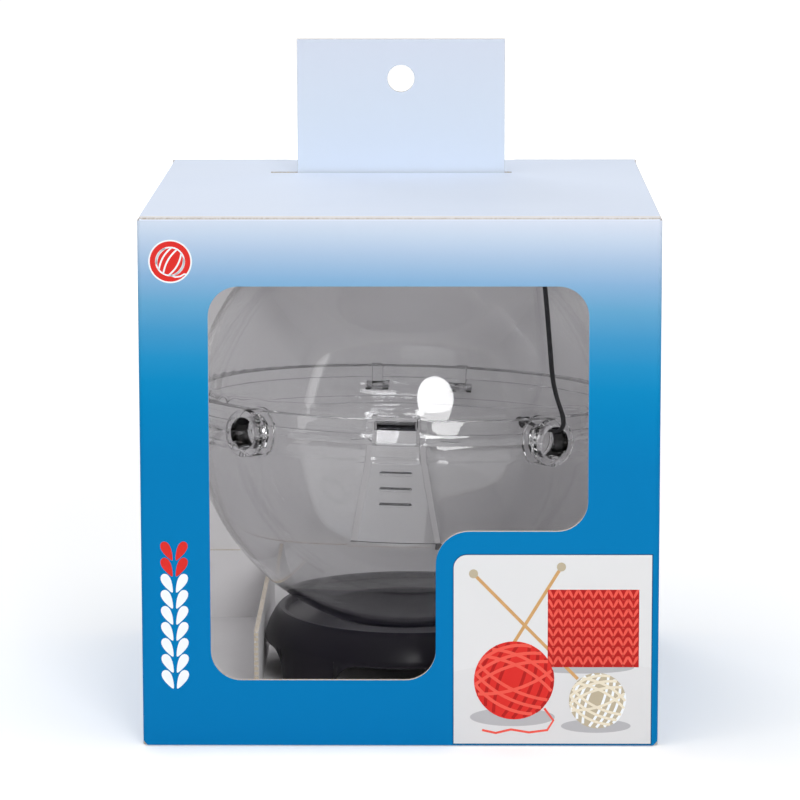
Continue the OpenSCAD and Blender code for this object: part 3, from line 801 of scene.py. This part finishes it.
def picture_outline(grow):
    x0, x1 = PIC_X0 - grow, PIC_X1 + grow
    z0, z1 = PIC_Z0 - min(grow, PIC_BORDER_BELOW), PIC_Z1 + grow
    r = PIC_R + grow
    arc = [(x0 + r - r * math.cos(math.radians(a)), z1 - r + r * math.sin(math.radians(a)))
        for a in range(0, 91, 9)]
    return [(x0, z0)] + arc + [(x1, z1), (x1, z0)]


def yarn_ball(name, ball, ground, light, dark, width):
    """A drawn ball of yarn: a disc and three lays of strands."""
    decal(name + "_ground", [disc(*ball)], ground, BALL_LIFT)
    for i, (lay, turn, offsets, bulge) in enumerate(BALL_LAYS):
        lines = ball_strands(*ball, turn, offsets, bulge, width)
        decal(name + lay, lines, light if i else dark, BALL_LIFT + (i + 1) * LAY_LIFT)


def make_picture():
    decal("picture_border", [picture_outline(PIC_BORDER)], BORDER)
    decal("picture_ground", [picture_outline(0)], PALE, GROUND_LIFT)
    decal("picture_floor", [PIC_FLOOR], PALE_FLOOR, FLOOR_LIFT)
    shadows = (BALL_LARGE_SHADOW, BALL_SMALL_SHADOW, SQUARE_SHADOW)
    decal("picture_shadows", [disc(*shadow) for shadow in shadows], SHADE, SHADOW_LIFT)
    decal("needle_one", [stroke(NEEDLE_ONE, NEEDLE_W)], WOOD, NEEDLE_ONE_LIFT)
    decal("needle_two", [stroke(NEEDLE_TWO, NEEDLE_W)], WOOD, NEEDLE_TWO_LIFT)
    decal("needle_ends", [disc(*end, NEEDLE_END_R, 24) for end in NEEDLE_ENDS], TAUPE, NEEDLE_END_LIFT)
    decal("knit_square_ground", [SQUARE], DEEP_RED, SQUARE_LIFT)
    decal("knit_square_stitches", stitches(*SQUARE_STITCHES), CORAL, STITCH_LIFT)
    yarn_ball("ball_large", BALL_LARGE, RED, CORAL, DEEP_RED, 1.05)
    yarn_ball("ball_small", BALL_SMALL, TAUPE, CREAM, WHITE, 0.85)
    decal("yarn_tail", [stroke(TAIL, TAIL_W)], CORAL, TAIL_LIFT)


make_picture()


# Floor, lamps and world, in metres and watts. The floor glows a little more far off, where the
# lamps reach it less
FLOOR_REACH, FLOOR_DROP = 12.0, 0.0003
GLOW_NEAR, GLOW_FAR = 0.22, 0.64
NEAR, FAR = 0.35, 2.2


def white_stage_material():
    n = Look("stage_white")
    n.set(Base_Color=(0.93, 0.93, 0.93, 1), Roughness=0.9, Specular_IOR_Level=0.0)
    rays = n.add("ShaderNodeLightPath").outputs
    seen = n.greatest([rays["Is Camera Ray"], rays["Is Glossy Ray"], rays["Is Transmission Ray"]])
    distance = n.add("ShaderNodeVectorMath", operation="LENGTH")
    n.join(n.coords(), distance.inputs[0])
    strength = n.spread(distance.outputs["Value"], NEAR, FAR, GLOW_NEAR, GLOW_FAR)
    glow = n.add("ShaderNodeEmission")
    n.join(n.math("MULTIPLY", seen, strength), glow.inputs["Strength"])
    both = n.add("ShaderNodeAddShader")
    n.join(n.shader.outputs[0], both.inputs[0])
    n.join(glow.outputs[0], both.inputs[1])
    n.join(both.outputs[0], n.surface)
    return n.material


def make_floor():
    mesh = bpy.data.meshes.new("floor")
    corners = [(FLOOR_REACH * x, FLOOR_REACH * y, 0) for x, y in ((-1, -1), (1, -1), (1, 1), (-1, 1))]
    mesh.from_pydata(corners, [], [(0, 1, 2, 3)])
    floor = bpy.data.objects.new("floor", mesh)
    bpy.context.scene.collection.objects.link(floor)
    floor.location.z = -FLOOR_DROP
    mesh.materials.append(white_stage_material())


make_floor()


def area_light(name, at, target, size, power, shape="RECTANGLE", seen=True):
    data = bpy.data.lights.new(name, "AREA")
    data.shape = shape
    data.size, data.size_y = size
    data.energy = power
    lamp = bpy.data.objects.new(name, data)
    bpy.context.scene.collection.objects.link(lamp)
    lamp.location = at
    aim = Vector(target) - Vector(at)
    lamp.rotation_euler = aim.to_track_quat("-Z", "Y").to_euler()
    lamp.visible_camera = False
    lamp.visible_glossy = seen
    lamp.visible_transmission = seen


AIM = (0, 0, 0.1)
area_light("softbox_right", (0.50, -1.85, 0.70), AIM, (0.66, 0.8), 14, "ELLIPSE")
area_light("softbox_left", (-1.6, -1.0, 0.8), AIM, (0.5, 1.2), 4)
area_light("overhead", (0, -0.3, 2.0), AIM, (1.6, 1.6), 15)
area_light("softbox_back", (-0.8, 1.9, 0.9), AIM, (1.0, 1.0), 12, seen=False)
area_light("inside_fill", (0.0, -0.02, 0.168), (0.0, 0.0, 0.0), (0.13, 0.11), 0.125, seen=False)

WORLD_LIGHT = 0.4
# What gloss and glass see of the studio, from its dim front round to its white backdrop
FRONT_GLOSS, BACK_GLOSS = 0.3, 1.0
FRONT_ENDS, BACK_BEGINS = -0.5, 0.3


def make_world():
    world = bpy.data.worlds.new("studio")
    bpy.context.scene.world = world
    world.use_nodes = True
    n = Nodes(world.node_tree)
    rays = n.add("ShaderNodeLightPath").outputs
    shiny = n.math("MAXIMUM", rays["Is Glossy Ray"], rays["Is Transmission Ray"])
    depth = n.split(n.coords("Generated"))[Y]
    around = n.spread(depth, FRONT_ENDS, BACK_BEGINS, FRONT_GLOSS, BACK_GLOSS)
    sky = world.node_tree.nodes["Background"]
    strength = n.level(rays["Is Camera Ray"], n.level(shiny, WORLD_LIGHT, around), 1.0)
    n.join(strength, sky.inputs["Strength"])
    sky.inputs["Color"].default_value = (1, 1, 1, 1)


make_world()
bpy.context.scene.view_settings.view_transform = "Standard"
